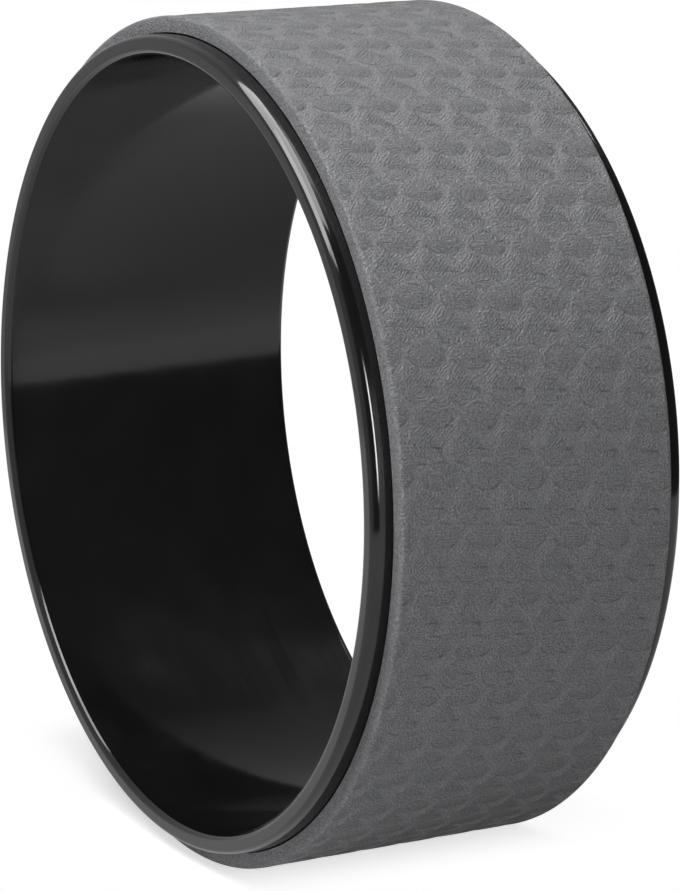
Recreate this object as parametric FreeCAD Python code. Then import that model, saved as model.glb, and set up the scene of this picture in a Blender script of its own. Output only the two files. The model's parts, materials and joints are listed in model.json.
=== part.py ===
import FreeCAD, Part
import math
import os

# Yoga wheel: a rigid moulded hoop with a soft foam strip bonded round it by a thin film.
# Millimetres. The wheel stands on its tread: its axis lies along Y, Z is up, and the origin is its centre.

# Hoop
hoop_outer_diameter = 304.8
hoop_wall = 7.5
hoop_width = 125.8
hoop_inner_rounding = 2.6
hoop_outer_rounding = 2.0

# Film between the hoop and the foam, stopping short of the foam's edges so that none squeezes out
film_thickness = 0.2
film_clearance = 0.2
film_inset = 1.0

# Foam strip
tread_thickness = 6.0
tread_width = 109.4
tread_shoulder_rounding = 1.5

# Butt joint where the ends of the wrapped strips meet, with the opening that is left there
joint_opening = 0.3
joint_bearing = 180

# Sizes worked out from those above
full_turn = 360
hoop_outer_radius = hoop_outer_diameter / 2
hoop_inner_radius = hoop_outer_radius - hoop_wall
film_inner_radius = hoop_outer_radius + film_clearance
tread_inner_radius = film_inner_radius + film_thickness
tread_outer_radius = tread_inner_radius + tread_thickness
joint_angle = math.degrees(joint_opening / tread_outer_radius)

centre = FreeCAD.Vector(0, 0, 0)
wheel_axis = FreeCAD.Vector(0, 1, 0)


def ring_section(inner_radius, outer_radius, width, inner_rounding, outer_rounding):
    """Cross-section of a ring, in the XY plane beside the wheel's axis: a rectangle with rounded corners."""
    half_width = width / 2
    corners = [
        (FreeCAD.Vector(inner_radius, -half_width, 0), inner_rounding),
        (FreeCAD.Vector(outer_radius, -half_width, 0), outer_rounding),
        (FreeCAD.Vector(outer_radius, half_width, 0), outer_rounding),
        (FreeCAD.Vector(inner_radius, half_width, 0), inner_rounding),
    ]
    edges = []
    starts = []
    ends = []
    for index, (corner, rounding) in enumerate(corners):
        to_last = (corners[index - 1][0] - corner).normalize()
        to_next = (corners[(index + 1) % len(corners)][0] - corner).normalize()
        start = corner + to_last * rounding
        end = corner + to_next * rounding
        starts.append(start)
        ends.append(end)
        if rounding > 0:
            inward = to_last + to_next
            crown = corner + inward * rounding - inward.normalize() * rounding
            edges.append(Part.Arc(start, crown, end).toShape())
    for index, end in enumerate(ends):
        edges.append(Part.LineSegment(end, starts[(index + 1) % len(starts)]).toShape())
    return Part.Face(Part.Wire(Part.__sortEdges__(edges)))


def moulded_ring(section):
    """A closed ring, turned about the wheel's axis."""
    return section.revolve(centre, wheel_axis, full_turn)


def wrapped_strip(section):
    """A strip wrapped round the wheel, from one side of the butt joint to the other."""
    beginning = section.copy()
    beginning.rotate(centre, wheel_axis, joint_bearing + joint_angle / 2)
    return beginning.revolve(centre, wheel_axis, full_turn - joint_angle)


core_hoop = moulded_ring(
    ring_section(hoop_inner_radius, hoop_outer_radius, hoop_width, hoop_inner_rounding, hoop_outer_rounding)
)
adhesive_film = wrapped_strip(
    ring_section(film_inner_radius, tread_inner_radius, tread_width - 2 * film_inset, 0, 0)
)
foam_tread = wrapped_strip(
    ring_section(tread_inner_radius, tread_outer_radius, tread_width, 0, tread_shoulder_rounding)
)

os.makedirs("parts", exist_ok=True)
nodes = {
    "core_hoop": core_hoop,
    "adhesive_film": adhesive_film,
    "foam_tread": foam_tread,
}
for name, shape in nodes.items():
    shape.exportStep(f"parts/{name}.step")
    print(name, "valid", shape.isValid(), "solids", len(shape.Solids), "volume", round(shape.Volume, 1))
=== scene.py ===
import json
import math

import bpy
import numpy as np
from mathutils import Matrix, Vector


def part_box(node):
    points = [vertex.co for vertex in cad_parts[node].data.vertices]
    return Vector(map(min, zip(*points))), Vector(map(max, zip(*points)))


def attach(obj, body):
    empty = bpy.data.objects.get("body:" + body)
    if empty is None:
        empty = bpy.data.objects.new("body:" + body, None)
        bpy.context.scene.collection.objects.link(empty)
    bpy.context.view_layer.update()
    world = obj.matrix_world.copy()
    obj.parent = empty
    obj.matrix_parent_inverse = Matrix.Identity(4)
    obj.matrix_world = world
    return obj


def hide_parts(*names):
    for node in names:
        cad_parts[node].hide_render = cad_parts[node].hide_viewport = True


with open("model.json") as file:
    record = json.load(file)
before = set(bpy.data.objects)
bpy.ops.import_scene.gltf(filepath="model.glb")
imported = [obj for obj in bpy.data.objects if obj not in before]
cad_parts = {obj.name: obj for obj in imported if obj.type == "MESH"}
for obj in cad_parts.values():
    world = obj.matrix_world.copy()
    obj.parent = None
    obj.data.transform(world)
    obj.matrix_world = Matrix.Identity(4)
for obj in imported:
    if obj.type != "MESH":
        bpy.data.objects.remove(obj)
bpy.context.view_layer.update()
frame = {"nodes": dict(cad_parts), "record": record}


# Core hoop
# The rigid ring that carries the load: black ABS moulded in one piece and polished, with flat ends and
# rounded edges. The foam is bonded round the middle of it, and both of its ends stay bare.
hoop_low, hoop_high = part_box("core_hoop")
hoop_bore = next(mount for mount in frame["record"]["mounts"] if mount["name"] == "hoop_bore")
hoop_radius = hoop_high.x
hoop_width = hoop_high.y - hoop_low.y
bore_radius = hoop_bore["dims"]["r_mm"] / 1000
hoop_inner_rounding = (hoop_width - hoop_bore["dims"]["length_mm"] / 1000) / 2
hoop_outer_rounding = 0.0020
hoop_outer_run = 0.0034
hoop_sides = 360
hoop_rounding_steps = 10
edge_tolerance = 0.0002
hoop_black = (0.0052, 0.0052, 0.0056, 1.0)
hoop_rubbed = (0.0085, 0.0085, 0.0090, 1.0)


def round_end_circles(piece, radius, half_width, rounding):
    """Rounds off a ring's edges that run round its two ends at the given radius, and no others."""
    mesh = piece.data
    for part in (mesh.vertices, mesh.polygons, mesh.edges):
        part.foreach_set("select", [False] * len(part))
    for edge in mesh.edges:
        ends = [mesh.vertices[number].co for number in edge.vertices]
        on_circle = [abs(math.hypot(end.x, end.z) - radius) < edge_tolerance for end in ends]
        on_one_end = abs(abs(ends[0].y + ends[1].y) / 2 - half_width) < edge_tolerance
        edge.select = all(on_circle) and on_one_end
    bpy.ops.object.mode_set(mode="EDIT")
    bpy.ops.mesh.bevel(offset=rounding, segments=hoop_rounding_steps, profile=0.5, affect="EDGES")
    bpy.ops.object.mode_set(mode="OBJECT")


bpy.ops.object.select_all(action="DESELECT")
bpy.ops.mesh.primitive_cylinder_add(
    vertices=hoop_sides, radius=hoop_radius, depth=hoop_width,
    end_fill_type="NOTHING", rotation=(math.pi / 2, 0, 0),
)
hoop = bpy.context.object
hoop.name = "hoop"
bpy.ops.object.transform_apply(location=True, rotation=True, scale=True)
hoop_wall = hoop.modifiers.new("moulded wall", "SOLIDIFY")
hoop_wall.thickness = hoop_radius - bore_radius
hoop_wall.offset = -1
bpy.ops.object.modifier_apply(modifier=hoop_wall.name)
bpy.context.tool_settings.mesh_select_mode = (False, True, False)
outer_stretch = hoop_outer_run / hoop_outer_rounding
hoop.scale.y = 1 / outer_stretch
bpy.ops.object.transform_apply(location=True, rotation=True, scale=True)
round_end_circles(hoop, hoop_radius, hoop_width / 2 / outer_stretch, hoop_outer_rounding)
hoop.scale.y = outer_stretch
bpy.ops.object.transform_apply(location=True, rotation=True, scale=True)
round_end_circles(hoop, bore_radius, hoop_width / 2, hoop_inner_rounding)
bpy.ops.object.shade_smooth()
hoop_shading = hoop.modifiers.new("flat ends", "WEIGHTED_NORMAL")
hoop_shading.weight = 90
bpy.ops.object.modifier_apply(modifier=hoop_shading.name)


def new_finish(name):
    """A new material that holds one Principled shader, with its node tree and that shader."""
    finish = bpy.data.materials.new(name)
    finish.use_nodes = True
    tree = finish.node_tree
    tree.nodes.clear()
    shader = tree.nodes.new("ShaderNodeBsdfPrincipled")
    output = tree.nodes.new("ShaderNodeOutputMaterial")
    tree.links.new(shader.outputs["BSDF"], output.inputs["Surface"])
    return finish, tree, shader


def add_node(tree, kind, sockets=None, **settings):
    """Adds a shader node, and gives each named socket a value or a link from another node's output."""
    node = tree.nodes.new("ShaderNode" + kind)
    for name, value in settings.items():
        setattr(node, name, value)
    for name, value in (sockets or {}).items():
        if isinstance(value, bpy.types.NodeSocket):
            tree.links.new(value, node.inputs[name])
        else:
            node.inputs[name].default_value = value
    return node


def noise(tree, place, scale, detail, roughness=0.5):
    """A noise of about the given number of lumps to a unit of the place's own scale."""
    return add_node(tree, "TexNoise", {
        "Vector": place, "Scale": scale, "Detail": detail, "Roughness": roughness,
    }).outputs["Fac"]


def spread(tree, value, low, high, new_low, new_high):
    """Stretches a value from one range to another, and clips it there."""
    return add_node(tree, "MapRange", {
        "Value": value, "From Min": low, "From Max": high, "To Min": new_low, "To Max": new_high,
    }).outputs["Result"]


def blend_colours(tree, share, first, second):
    """A mix of two colours, where a share of 0 gives the first one."""
    node = add_node(tree, "Mix", {0: share, 6: first, 7: second}, data_type="RGBA")
    return node.outputs[2]


hoop_finish, tree, shader = new_finish("polished black ABS")
place = add_node(tree, "TexCoord").outputs["Object"]
round_the_hoop = add_node(tree, "Mapping", {"Vector": place, "Scale": (14, 900, 14)}).outputs["Vector"]
polishing = noise(tree, round_the_hoop, 1, 3)
handling = noise(tree, place, 34, 4, 0.6)
flow = noise(tree, place, 120, 2)
shader.inputs["IOR"].default_value = 1.47
rubbed_share = spread(tree, handling, 0.45, 0.75, 0, 1)
hoop_colour = blend_colours(tree, rubbed_share, hoop_black, hoop_rubbed)
tree.links.new(hoop_colour, shader.inputs["Base Color"])
polish = add_node(tree, "Math", {0: polishing, 1: handling}, operation="ADD").outputs[0]
tree.links.new(spread(tree, polish, 0.6, 1.4, 0.07, 0.13), shader.inputs["Roughness"])
ripple = add_node(tree, "Bump", {"Height": flow, "Strength": 0.05, "Distance": 0.0004}).outputs["Normal"]
tree.links.new(ripple, shader.inputs["Normal"])
hoop.data.materials.append(hoop_finish)
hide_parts("core_hoop")
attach(hoop, "root")


# Adhesive film
# The double-sided film that bonds the foam to the hoop, a fifth of a millimetre thick. It stops just
# short of the foam's edges, so that only a dark line shows at the foam's foot: the shade of that narrow
# gap, deepened by painted shade in the film's near-black colour.
film_dark = (0.006, 0.006, 0.006, 1.0)
film_pale = (0.016, 0.015, 0.014, 1.0)
film_finish, tree, shader = new_finish("dull adhesive film")
place = add_node(tree, "TexCoord").outputs["Object"]
smear = noise(tree, place, 180, 4, 0.6)
tree.links.new(blend_colours(tree, smear, film_dark, film_pale), shader.inputs["Base Color"])
tree.links.new(spread(tree, smear, 0.3, 0.7, 0.55, 0.8), shader.inputs["Roughness"])
tackiness = add_node(tree, "Bump", {"Height": smear, "Strength": 0.2, "Distance": 0.0002}).outputs["Normal"]
tree.links.new(tackiness, shader.inputs["Normal"])
film = frame["nodes"]["adhesive_film"]
film.data.materials.clear()
film.data.materials.append(film_finish)


# Foam tread
# A strip of grey closed-cell foam, pressed with staggered scales and a fine leather-like grain, cut to
# width with softened shoulders, wrapped once round the hoop and butted together at the back.
tread_low, tread_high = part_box("foam_tread")
tread_radius = 0.1588
tread_foot_radius = 0.1528
tread_half_width = (tread_high.y - tread_low.y) / 2
tread_shoulder = 0.0015
joint_opening = 0.0003
joint_softening = 0.0006
scale_pitch = 0.0174
scale_row = 0.010385
scale_lean = 0.1195
scale_even = 0.0070
scale_odd = 0.0127
scale_middle = 0.0042
scale_half_width = 0.0084
scale_half_height = 0.0062
scale_height = 0.00020
scale_run_out = 0.0060
tread_columns = 850
tread_rows = 92
shoulder_steps = 5
foot_steps = 2


def scale_relief(across, around):
    """How far the pressed scales stand up, from 0 between them to 1 on their crowns, all in metres."""
    climb = (around + scale_lean * across) / scale_row
    relief = np.zeros_like(climb)
    for row in (np.floor(climb) - 1, np.floor(climb), np.floor(climb) + 1):
        odd = np.mod(row, 2)
        steps = (across - scale_even - (scale_odd - scale_even) * odd) / scale_pitch
        x = (steps - np.round(steps)) * scale_pitch / scale_half_width
        y = ((climb - row) * scale_row - scale_middle) / scale_half_height
        crown = np.clip(1 - x * x - y * y, 0, 1)
        relief = np.maximum(relief, crown * (2 - crown))
    return relief


foot_line = np.linspace(tread_foot_radius, tread_radius - tread_shoulder, foot_steps + 1)[:-1]
turn = np.linspace(0, math.pi / 2, shoulder_steps + 1)[:-1]
flat_line = np.linspace(tread_shoulder - tread_half_width, tread_half_width - tread_shoulder, tread_rows + 1)
near_across = np.concatenate([
    np.full(foot_steps, -tread_half_width),
    tread_shoulder * (1 - np.cos(turn)) - tread_half_width,
])
near_radius = np.concatenate([foot_line, tread_radius - tread_shoulder * (1 - np.sin(turn))])
near_share = np.concatenate([np.zeros(foot_steps), np.sin(turn) ** 2])
section_across = np.concatenate([near_across, flat_line, -near_across[::-1]])
section_radius = np.concatenate([near_radius, np.full(tread_rows + 1, tread_radius), near_radius[::-1]])
section_share = np.concatenate([near_share, np.ones(tread_rows + 1), near_share[::-1]])
end_steps = joint_softening * np.array([0, 0.1, 0.3, 0.6])
strip_length = 2 * math.pi * tread_radius - joint_opening
strip_line = np.concatenate([
    end_steps,
    np.linspace(joint_softening, strip_length - joint_softening, tread_columns + 1),
    strip_length - end_steps[::-1],
])

bpy.ops.object.select_all(action="DESELECT")
bpy.ops.mesh.primitive_grid_add(
    x_subdivisions=len(strip_line) - 1, y_subdivisions=len(section_across) - 1, size=1,
)
tread = bpy.context.object
tread.name = "tread"
flat = np.empty(len(tread.data.vertices) * 3, np.float32)
tread.data.vertices.foreach_get("co", flat)
flat = flat.reshape(-1, 3)
column = np.rint((flat[:, 0] + 0.5) * (len(strip_line) - 1)).astype(int)
line = np.rint((flat[:, 1] + 0.5) * (len(section_across) - 1)).astype(int)
along = strip_line[column]
across = section_across[line]
around = along - strip_length / 2
from_end = np.minimum(along, strip_length - along)
past_end = np.clip(1 - from_end / joint_softening, 0, 1)
end_drop = joint_softening * (1 - np.sqrt(1 - past_end ** 2))
from_edge = np.clip((tread_half_width - np.abs(across)) / scale_run_out, 0, 1)
sunk = scale_height * (1 - scale_relief(across, around)) * from_edge ** 2 * (3 - 2 * from_edge)
radius = section_radius[line] - section_share[line] * (sunk + end_drop)
angle = around / tread_radius
wrapped = np.stack([radius * np.cos(angle), across, radius * np.sin(angle)], axis=1)
tread.data.vertices.foreach_set("co", wrapped.astype(np.float32).ravel())
strip = tread.data.attributes.new("strip", "FLOAT_VECTOR", "POINT")
strip_mm = np.stack([across, around, tread_radius - section_radius[line]], axis=1) * 1000
strip.data.foreach_set("vector", strip_mm.astype(np.float32).ravel())
tread.data.update()

for part in (tread.data.vertices, tread.data.polygons, tread.data.edges):
    part.foreach_set("select", [False] * len(part))
foot = {number for number in range(len(line)) if line[number] in (0, len(section_across) - 1)}
for edge in tread.data.edges:
    edge.select = edge.vertices[0] in foot and edge.vertices[1] in foot
bpy.ops.object.mode_set(mode="EDIT")
bpy.ops.mesh.bridge_edge_loops()
bpy.ops.mesh.select_all(action="SELECT")
bpy.ops.mesh.fill_holes(sides=0)
bpy.ops.mesh.normals_make_consistent(inside=False)
bpy.ops.object.mode_set(mode="OBJECT")
bpy.ops.object.shade_smooth_by_angle(angle=math.radians(50))

foam_dark = (0.064, 0.0653, 0.0682, 1.0)
foam_light = (0.250, 0.2525, 0.2605, 1.0)
mm = 0.001
grain_pitch = 0.95
hatch_pitch = 1.05
pore_pitch = 0.60


def calc(tree, operation, first, second=0.0, third=0.0):
    """One sum on the tread's pressed pattern."""
    return add_node(tree, "Math", {0: first, 1: second, 2: third}, operation=operation).outputs[0]


def weigh(tree, *parts):
    """Adds up values, each times its own weight."""
    total = calc(tree, "MULTIPLY", parts[0][0], parts[0][1])
    for value, weight in parts[1:]:
        total = calc(tree, "ADD", total, calc(tree, "MULTIPLY", value, weight))
    return total


def choose(tree, share, first, second):
    """The first value where the share is 0, and the second where it is 1."""
    return calc(tree, "ADD", first, calc(tree, "MULTIPLY", share, calc(tree, "SUBTRACT", second, first)))


def soften(tree, value, low, high):
    """Rises smoothly from 0 at the low value to 1 at the high one."""
    return add_node(tree, "MapRange", {
        "Value": value, "From Min": low, "From Max": high, "To Min": 0.0, "To Max": 1.0,
    }, interpolation_type="SMOOTHSTEP").outputs["Result"]


def length(tree, first, second):
    """The length of the slanting side over two square ones."""
    return calc(tree, "SQRT", weigh(
        tree, (calc(tree, "MULTIPLY", first, first), 1.0), (calc(tree, "MULTIPLY", second, second), 1.0),
    ))


def from_nearest(tree, across, around, middle_across, middle_around):
    """Where a place lies from the nearest repeat of one feature of the pressed cell, in millimetres."""
    half_pitch = scale_pitch / mm / 2
    row = scale_row / mm
    x = calc(tree, "WRAP", calc(tree, "SUBTRACT", across, middle_across), half_pitch, -half_pitch)
    y = calc(tree, "WRAP", calc(tree, "SUBTRACT", around, middle_around), row, -row)
    return x, y


def rib(tree, distance, half_width):
    """1 on a line, and smoothly down to 0 at a distance of half its width."""
    return soften(tree, calc(tree, "ABSOLUTE", distance), half_width, 0.0)


foam_finish, tree, shader = new_finish("pressed grey foam")
place = add_node(tree, "Attribute", attribute_name="strip").outputs["Vector"]
mottle = noise(tree, place, 0.07, 3, 0.55)
grain = noise(tree, place, 1 / grain_pitch, 2, 0.6)
wrinkle = noise(tree, place, 0.75 / grain_pitch, 2, 0.5)
wander = noise(tree, place, 0.22, 2, 0.5)
pores = spread(tree, noise(tree, place, 1 / pore_pitch, 1), 0.32, 0.68, -1, 1)

strip_place = add_node(tree, "SeparateXYZ", {0: place})
across_mm = strip_place.outputs["X"]
around_mm = weigh(tree, (strip_place.outputs["Y"], 1.0), (across_mm, scale_lean))
pressed = soften(tree, strip_place.outputs["Z"], 1.2, 0.1)
lens_x, lens_y = from_nearest(tree, across_mm, around_mm, 12.7, 34.5)
roof_x, roof_y = from_nearest(tree, across_mm, around_mm, 7.4, 23.2)
brow_x, brow_y = from_nearest(tree, across_mm, around_mm, 10.2, 36.2)
edge_x, edge_y = from_nearest(tree, across_mm, around_mm, 12.7, 28.0)
knot_x, knot_y = from_nearest(tree, across_mm, around_mm, 1.7, 28.8)

lens_out = length(tree, calc(tree, "DIVIDE", lens_x, 6.6), calc(tree, "DIVIDE", lens_y, 4.3))
lens = soften(tree, lens_out, 1.20, 0.98)
lens_low = soften(tree, weigh(tree, (lens_y, 1.0), (lens_x, -0.30)), 2.4, -2.0)
lens_low = calc(tree, "MULTIPLY", lens, lens_low)
above = soften(tree, roof_y, -0.3, 0.5)
roof_in = weigh(tree, (calc(tree, "ABSOLUTE", roof_x), -1 / 6.75), (roof_y, -1 / 7.8), (1.0, 1.0))
roof = calc(tree, "MULTIPLY", soften(tree, roof_in, -0.08, 0.10), above)
bowl_out = length(tree, calc(tree, "DIVIDE", roof_x, 6.4), calc(tree, "DIVIDE", roof_y, 5.4))
below = calc(tree, "SUBTRACT", 1.0, above)
bowl = calc(tree, "MULTIPLY", soften(tree, bowl_out, 1.18, 0.98), below)
bowl_rim = calc(tree, "MULTIPLY", rib(tree, calc(tree, "SUBTRACT", bowl_out, 1.08), 0.13), below)
brow_out = length(tree, calc(tree, "ADD", brow_x, -7.0), calc(tree, "ADD", brow_y, 9.6))
brow = rib(tree, calc(tree, "SUBTRACT", brow_out, 14.2), 0.85)
edge_along = weigh(tree, (edge_x, 0.75), (edge_y, -0.66))
edge = rib(tree, weigh(tree, (edge_x, 0.66), (edge_y, 0.75)), 0.8)
edge = calc(tree, "MULTIPLY", edge, rib(tree, edge_along, 7.5))
knot = soften(tree, length(tree, knot_x, knot_y), 3.8, 1.0)

slant = weigh(tree, (roof_y, 0.72), (roof_x, -0.70), (wander, 2.0))
level = weigh(tree, (lens_y, 1.0), (lens_x, 0.05), (wander, 1.6))
rings = weigh(tree, (bowl_out, 5.9), (wander, 1.0))
lines = choose(tree, bowl, choose(tree, lens, slant, level), rings)
hatch = calc(tree, "SINE", calc(tree, "MULTIPLY", lines, 2 * math.pi / hatch_pitch))
hatch = calc(tree, "MULTIPLY", hatch, calc(tree, "MULTIPLY", pressed, spread(tree, mottle, 0.35, 0.65, 0.45, 0.9)))
hatched = weigh(tree, (lens, 0.4), (roof, 0.6), (bowl, 0.6), (knot, 0.7), (brow, -0.3), (edge, -0.3), (1.0, 0.4))
hatch = calc(tree, "MULTIPLY", hatch, spread(tree, hatched, 0, 2, 0, 2))
# The grain's thin creases: the bump sinks them, and the colour below paints them darker, painted shade in them.
creases = calc(tree, "ABSOLUTE", calc(tree, "SUBTRACT", wrinkle, 0.5))
folds = spread(tree, creases, 0.0, 0.12, -1, 1)
lumps = spread(tree, grain, 0.32, 0.68, -1, 1)
bodies = calc(tree, "MULTIPLY", pressed, weigh(tree, (lens, 0.5), (lens_low, 0.6), (roof, 1.1), (bowl, 0.45)))
# A crease across the scales: the bump sinks it, and the colour below paints it darker, painted shade in it.
crease = calc(tree, "MULTIPLY", pressed, calc(
    tree, "MULTIPLY", rib(tree, roof_y, 0.9), rib(tree, roof_x, 8.0),
))
# Raised ribs: the bump lifts them, the gloss rises on them, and the colour below paints them lighter, a painted
# highlight.
ribs = calc(tree, "MULTIPLY", pressed, weigh(tree, (brow, 0.8), (edge, 0.8), (knot, 0.5), (bowl_rim, 0.7)))

# The foam's colour: its own mottle, grain, pores and hatch lines, with painted light on top: the ribs painted
# lighter, and the crease and the grain's folds painted darker.
shade = weigh(
    tree, (mottle, 0.15), (lumps, 0.17), (folds, 0.13), (pores, 0.14), (ribs, 0.05), (crease, -0.04),
    (hatch, 0.10),
)
foam_colour = blend_colours(tree, spread(tree, shade, -0.45, 0.55, 0, 1), foam_dark, foam_light)
tree.links.new(foam_colour, shader.inputs["Base Color"])
gloss = weigh(tree, (lumps, -0.10), (hatch, -0.08), (bodies, 0.28), (ribs, -0.20), (1.0, 0.60))
tree.links.new(spread(tree, gloss, 0.0, 1.0, 0.0, 1.0), shader.inputs["Roughness"])
shader.inputs["IOR"].default_value = 1.45
shader.inputs["Specular IOR Level"].default_value = 0.32
tilt = calc(tree, "MULTIPLY", calc(tree, "MULTIPLY", lens, lens_y), pressed)
skin = weigh(tree, (folds, 0.21), (lumps, 0.25), (hatch, 0.18), (ribs, 0.20), (crease, -0.17), (tilt, 0.05))
skin_bump = add_node(tree, "Bump", {"Height": skin, "Strength": 1.0, "Distance": 0.0006}).outputs["Normal"]
tree.links.new(skin_bump, shader.inputs["Normal"])
tread.data.materials.append(foam_finish)
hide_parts("foam_tread")
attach(tread, "root")


# Studio
# A white floor under the wheel, its glow lower behind it as a painted shadow, a wide soft box overhead
# with a brighter middle, a slim light to the right, and a round screen, dark on the right, that only the
# polished hoop mirrors. A glowing card inside the hoop gives its bore a painted reflection.
floor_height = -tread_radius
floor_reach = 4.0
floor_white = (0.70, 0.70, 0.70, 1.0)
shadow_lift = 0.585
painted_shadow_lift = 0.475
mirror_lift = 0.35
shadow_near = 0.34
shadow_far = 0.46


def seen_rays(tree):
    """1 for the rays that show a surface to the camera, straight or by way of a mirror or a glass."""
    rays = add_node(tree, "LightPath")
    mirrored = calc(tree, "MAXIMUM", rays.outputs["Is Glossy Ray"], rays.outputs["Is Transmission Ray"])
    return rays.outputs["Is Camera Ray"], calc(tree, "MAXIMUM", rays.outputs["Is Camera Ray"], mirrored)


bpy.ops.object.select_all(action="DESELECT")
bpy.ops.mesh.primitive_circle_add(
    vertices=96, radius=floor_reach, fill_type="NGON", location=(0, 0, floor_height),
)
floor = bpy.context.object
floor.name = "floor"
bpy.ops.object.transform_apply(location=True, rotation=True, scale=True)
floor_finish = bpy.data.materials.new("white floor")
floor_finish.use_nodes = True
tree = floor_finish.node_tree
tree.nodes.clear()
output = add_node(tree, "OutputMaterial")
straight, seen = seen_rays(tree)
paper = add_node(tree, "BsdfDiffuse", {"Color": floor_white}).outputs["BSDF"]
place = add_node(tree, "TexCoord").outputs["Object"]
floor_place = add_node(tree, "SeparateXYZ", {0: place})
# For the camera the floor's glow is lower behind the wheel: a painted shadow there, on top of the lamps' own.
straight_lift = spread(tree, floor_place.outputs["X"], -0.085, -0.040, painted_shadow_lift, shadow_lift)
lift = add_node(tree, "Emission", {
    "Strength": choose(tree, straight, mirror_lift, straight_lift),
}).outputs["Emission"]
white = add_node(tree, "Emission", {"Strength": 1.0}).outputs["Emission"]
lifted = add_node(tree, "AddShader", {0: paper, 1: lift}).outputs["Shader"]
distance = add_node(tree, "VectorMath", {0: place}, operation="LENGTH").outputs["Value"]
mirrored_away = spread(tree, distance, shadow_near, shadow_far, 0, 1)
in_length = calc(
    tree, "MULTIPLY", soften(tree, floor_place.outputs["X"], -0.195, -0.150),
    soften(tree, floor_place.outputs["X"], 0.066, 0.012),
)
beside = weigh(tree, (floor_place.outputs["Y"], 1.0), (floor_place.outputs["X"], 0.25))
in_width = calc(
    tree, "MULTIPLY", soften(tree, beside, -0.092, -0.070),
    soften(tree, floor_place.outputs["Y"], 0.125, 0.065),
)
straight_away = calc(tree, "SUBTRACT", 1.0, calc(tree, "MULTIPLY", in_length, in_width))
far_away = choose(tree, straight, mirrored_away, straight_away)
picture = add_node(tree, "MixShader", {0: far_away, 1: lifted, 2: white}).outputs["Shader"]
surface = add_node(tree, "MixShader", {0: seen, 1: paper, 2: picture}).outputs["Shader"]
tree.links.new(surface, output.inputs["Surface"])
floor.data.materials.append(floor_finish)

screen_radius = 0.79
screen_height = 2.3
screen_pale = 0.60
screen_dark = 0.09
panel_white = 0.85
slim_white = 26.0
bpy.ops.object.select_all(action="DESELECT")
bpy.ops.mesh.primitive_cylinder_add(
    vertices=96, radius=screen_radius, depth=screen_height, end_fill_type="NOTHING",
    location=(0, 0, floor_height + screen_height / 2),
)
screen = bpy.context.object
screen.name = "screen"
bpy.ops.object.transform_apply(location=True, rotation=True, scale=True)
screen_finish = bpy.data.materials.new("studio screen")
screen_finish.use_nodes = True
tree = screen_finish.node_tree
tree.nodes.clear()
output = add_node(tree, "OutputMaterial")
place = add_node(tree, "SeparateXYZ", {0: add_node(tree, "TexCoord").outputs["Object"]})
bearing = calc(tree, "DEGREES", calc(tree, "ARCTAN2", place.outputs["Y"], place.outputs["X"]))
past_front = spread(tree, bearing, -42, -22, 0, 1)
before_back = spread(tree, bearing, 120, 178, 1, 0)
dark_share = calc(tree, "MULTIPLY", past_front, before_back)
screen_light = spread(tree, dark_share, 0, 1, screen_pale, screen_dark)
panel_share = calc(tree, "MULTIPLY", spread(tree, bearing, 14, 15, 0, 1), spread(tree, bearing, 21, 22, 1, 0))
panel_share = calc(tree, "MULTIPLY", panel_share, spread(tree, place.outputs["Z"], 0.28, 0.42, 1, 0))
screen_light = calc(tree, "ADD", screen_light, calc(tree, "MULTIPLY", panel_share, panel_white))
slim_share = calc(tree, "MULTIPLY", spread(tree, bearing, 6, 8, 0, 1), spread(tree, bearing, 14, 15, 1, 0))
slim_share = calc(tree, "MULTIPLY", slim_share, spread(tree, place.outputs["Z"], 0.32, 0.44, 1, 0))
slim_share = calc(tree, "MULTIPLY", slim_share, spread(tree, place.outputs["Z"], -0.06, 0.04, 0, 1))
screen_light = calc(tree, "ADD", screen_light, calc(tree, "MULTIPLY", slim_share, slim_white))
screen_glow = add_node(tree, "Emission", {"Strength": screen_light}).outputs["Emission"]
tree.links.new(screen_glow, output.inputs["Surface"])
screen.data.materials.append(screen_finish)

world = bpy.data.worlds.new("white studio")
bpy.context.scene.world = world
world.use_nodes = True
tree = world.node_tree
tree.nodes.clear()
output = add_node(tree, "OutputWorld")
straight, seen = seen_rays(tree)
background = add_node(tree, "Background", {
    "Color": (1.0, 1.0, 1.0, 1.0), "Strength": spread(tree, seen, 0, 1, 0.10, 1.0),
}).outputs["Background"]
tree.links.new(background, output.inputs["Surface"])


def soft_box(name, place, target, width, height, brightness):
    """A rectangular soft box at a place, turned to a target; sizes in metres, white being 1."""
    lamp = bpy.data.lights.new(name, "AREA")
    lamp.shape = "RECTANGLE"
    lamp.size = width
    lamp.size_y = height
    lamp.energy = brightness * math.pi * width * height
    box = bpy.data.objects.new(name, lamp)
    bpy.context.collection.objects.link(box)
    box.location = place
    aim = Vector(target) - Vector(place)
    box.rotation_euler = aim.to_track_quat("-Z", "Y").to_euler()
    return box


top_box = soft_box("overhead box", (0.10, -0.55, 0.85), (0, 0, 0), 0.50, 0.50, 10.9)
side_box = soft_box("side fill", (0.52, -0.78, 0.06), (0, 0, 0), 0.40, 0.40, 4.8)
front_box = soft_box("front fill", (1.50, -0.45, 0.20), (0, 0, 0), 0.70, 0.50, 4.7)
for box in (top_box, side_box, front_box):
    box.visible_glossy = False


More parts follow.
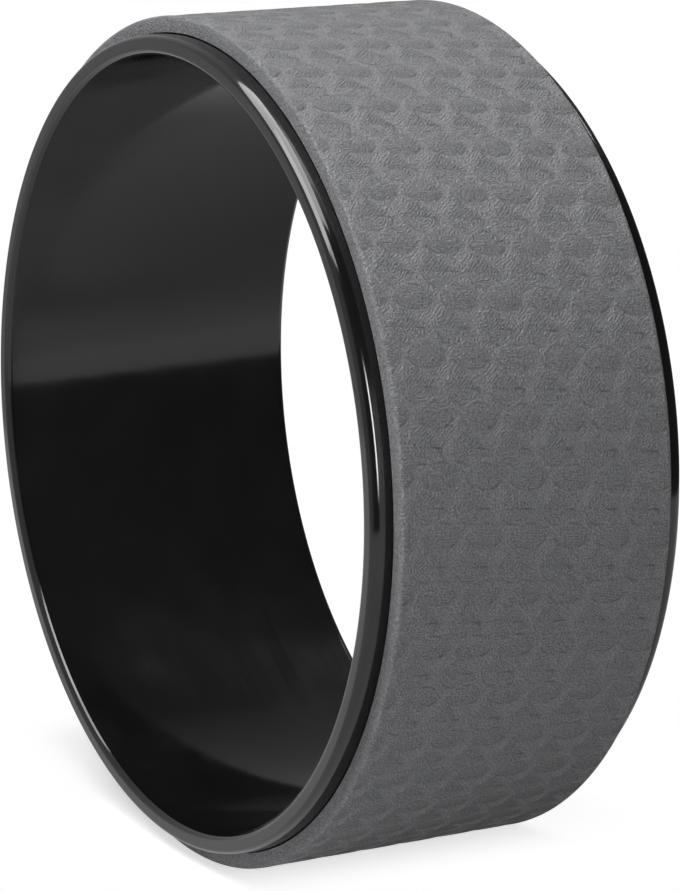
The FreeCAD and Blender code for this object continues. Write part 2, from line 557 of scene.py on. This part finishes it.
def mirrored_panel(name, place, width, height, brightness):
    """A level lit cloth over the wheel, that only the gloss on its surfaces shows; white is 1."""
    bpy.ops.object.select_all(action="DESELECT")
    bpy.ops.mesh.primitive_plane_add(size=1, location=place)
    panel = bpy.context.object
    panel.name = name
    panel.scale = (width, height, 1)
    bpy.ops.object.transform_apply(location=True, rotation=True, scale=True)
    finish = bpy.data.materials.new(name)
    finish.use_nodes = True
    tree = finish.node_tree
    tree.nodes.clear()
    output = add_node(tree, "OutputMaterial")
    cloth = add_node(tree, "Emission", {"Strength": brightness}).outputs["Emission"]
    tree.links.new(cloth, output.inputs["Surface"])
    panel.data.materials.append(finish)
    return panel


sheen_wide = mirrored_panel("sheen_wide", (0.015, -0.325, 1.02), 0.93, 1.49, 7.4)
sheen_back = mirrored_panel("sheen_back", (-0.35, 0.98, 1.00), 0.70, 0.50, 15.0)
sheen_front = mirrored_panel("sheen_front", (0.66, -0.30, 1.02), 0.36, 0.50, 7.4)
sheen_middle = mirrored_panel("sheen_middle", (0.25, -0.40, 0.90), 0.60, 0.60, 11.0)

# A glowing card along the lower inside of the hoop, no lamp, that only the gloss shows: it glows towards rays from
# above, a painted reflection on the bore's upper wall.
card_glow_strength = 0.58
card_gap = 0.002
bpy.ops.object.select_all(action="DESELECT")
bpy.ops.mesh.primitive_cylinder_add(
    vertices=180, radius=bore_radius - card_gap, depth=hoop_width - 2 * hoop_inner_rounding,
    end_fill_type="NOTHING", rotation=(math.pi / 2, 0, 0),
)
card = bpy.context.object
card.name = "inner_card"
bpy.ops.object.transform_apply(location=True, rotation=True, scale=True)
card_finish = bpy.data.materials.new("inner card")
card_finish.use_nodes = True
tree = card_finish.node_tree
tree.nodes.clear()
output = add_node(tree, "OutputMaterial")
place = add_node(tree, "SeparateXYZ", {0: add_node(tree, "TexCoord").outputs["Object"]})
leftward = calc(tree, "MULTIPLY", place.outputs["X"], -1.0)
downward = calc(tree, "MULTIPLY", place.outputs["Z"], -1.0)
swing = calc(tree, "DEGREES", calc(tree, "ARCTAN2", leftward, downward))
card_light = calc(
    tree, "MULTIPLY", spread(tree, swing, 10, 118, card_glow_strength, 0), soften(tree, swing, -70, -45),
)
surface = add_node(tree, "NewGeometry")
inside = surface.outputs["Backfacing"]
towards = add_node(tree, "SeparateXYZ", {0: surface.outputs["Incoming"]})
from_above = calc(tree, "MULTIPLY", inside, soften(tree, towards.outputs["Z"], 0.1, 0.3))
card_glow = add_node(tree, "Emission", {
    "Strength": calc(tree, "MULTIPLY", card_light, from_above),
}).outputs["Emission"]
clear = add_node(tree, "BsdfTransparent").outputs["BSDF"]
card_surface = add_node(tree, "AddShader", {0: clear, 1: card_glow}).outputs["Shader"]
tree.links.new(card_surface, output.inputs["Surface"])
card.data.materials.append(card_finish)

for part in (screen, sheen_wide, sheen_back, sheen_front, sheen_middle, card):
    part.visible_camera = False
    part.visible_diffuse = False
    part.visible_shadow = False
    part.visible_transmission = False

camera_place = (1.31982, -0.72386, 0.33087)
camera_aim = (0.00514, 0.00653, -0.00590)
camera_data = bpy.data.cameras.new("camera")
camera_data.sensor_fit = "VERTICAL"
camera_data.sensor_height = 36
camera_data.lens = 164.81
camera = bpy.data.objects.new("camera", camera_data)
bpy.context.collection.objects.link(camera)
camera.location = camera_place
camera.rotation_euler = (Vector(camera_aim) - Vector(camera_place)).to_track_quat("-Z", "Y").to_euler()
bpy.context.scene.camera = camera
bpy.context.scene.view_settings.view_transform = "Standard"
